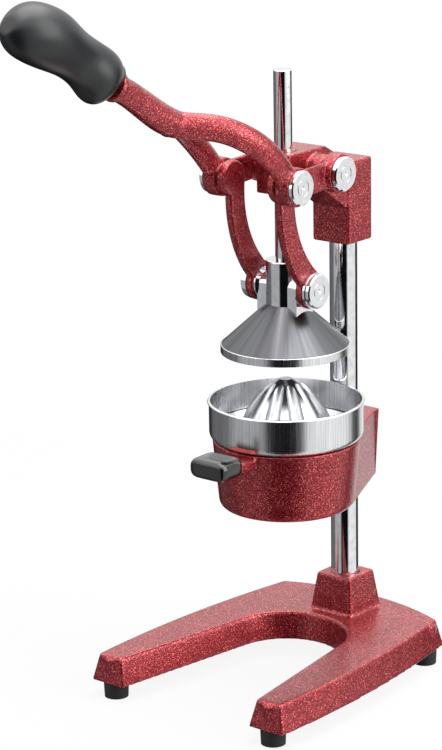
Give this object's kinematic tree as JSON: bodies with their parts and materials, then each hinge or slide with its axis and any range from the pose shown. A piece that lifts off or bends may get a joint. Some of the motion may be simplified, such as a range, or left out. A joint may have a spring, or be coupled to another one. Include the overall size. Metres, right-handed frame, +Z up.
{
  "type": "lever citrus juice press",
  "caption": "Lever citrus press: a forked handle drives a rod and press cone down onto a fluted reamer over a juice bowl and cup on a column stand.",
  "frame": {"origin": "on the surface it stands on, under the middle of the whole press's bounding box", "axes": "+Z up along the column and the press rod, -Y to the front, where the handle points, +X to the right"},
  "size_m": [0.1898, 0.4066, 0.5585],
  "materials": {
    "painted_casting": "red hammer-tone enamel on cast metal",
    "chromed_steel": "polished chrome",
    "stainless_sheet": "polished and spun stainless steel",
    "cast_aluminium": "polished cast aluminium",
    "zinc_plated_steel": "bright zinc",
    "bearing_bronze": "machined bronze",
    "soft_grip": "satin black moulded grip",
    "gloss_grip": "glossy black",
    "foot_rubber": "matt black rubber"
  },
  "bodies": {
    "stand": {"base": "painted_casting", "column": "chromed_steel", "column_bolt": "zinc_plated_steel", "column_bolt_washer": "zinc_plated_steel", "cup_holder": "painted_casting", "cup_set_screw": "zinc_plated_steel", "foot_front_left": "foot_rubber", "foot_front_right": "foot_rubber", "foot_rear_left": "foot_rubber", "foot_rear_right": "foot_rubber", "foot_screws": "zinc_plated_steel", "fulcrum_axle": "zinc_plated_steel", "fulcrum_cap_left": "chromed_steel", "fulcrum_cap_right": "chromed_steel", "fulcrum_washer_left": "chromed_steel", "fulcrum_washer_right": "chromed_steel", "head": "painted_casting", "head_set_screws": "zinc_plated_steel", "juice_bowl": "stainless_sheet", "reamer": "cast_aluminium", "reamer_nut": "zinc_plated_steel", "rod_guide_bush": "bearing_bronze", "side_grip": "gloss_grip", "strainer": "stainless_sheet"},
    "plunger": {"press_rod": "chromed_steel", "hub": "chromed_steel", "press_cone": "stainless_sheet", "cone_washer": "zinc_plated_steel", "cone_nut": "zinc_plated_steel", "hub_pin_left": "zinc_plated_steel", "hub_pin_right": "zinc_plated_steel", "hub_cap_left": "chromed_steel", "hub_cap_right": "chromed_steel", "hub_washer_left": "chromed_steel", "hub_washer_right": "chromed_steel", "hub_cap_washer_left": "chromed_steel", "hub_cap_washer_right": "chromed_steel"},
    "lever_arm": {"lever": "painted_casting", "lever_grip": "soft_grip", "fork_pin_left": "zinc_plated_steel", "fork_pin_right": "zinc_plated_steel", "fork_cap_left": "chromed_steel", "fork_cap_right": "chromed_steel", "fork_washer_left": "chromed_steel", "fork_washer_right": "chromed_steel"},
    "links": {"link_left": "painted_casting", "link_right": "painted_casting"}
  },
  "joints": [
    {"name": "lever_swing", "type": "hinge", "parent": "stand", "child": "lever_arm", "pos_m": [0, 0.1088, 0.3995], "axis": [1, 0, 0], "range_deg": [-45, 20]},
    {"name": "plunger_slide", "type": "slide", "parent": "stand", "child": "plunger", "axis": [0, 0, -1], "range_m": [-0.035, 0.0156]},
    {"name": "link_swing", "type": "hinge", "parent": "plunger", "child": "links", "pos_m": [0, 0.0905, 0.312], "axis": [1, 0, 0], "range_deg": [-4.6, 2.1]}
  ],
  "couplings": [
    {"joint": "plunger_slide", "follows": "lever_swing", "m_per_rad": 0.044},
    {"joint": "link_swing", "follows": "lever_swing", "ratio": 0.1}
  ]
}
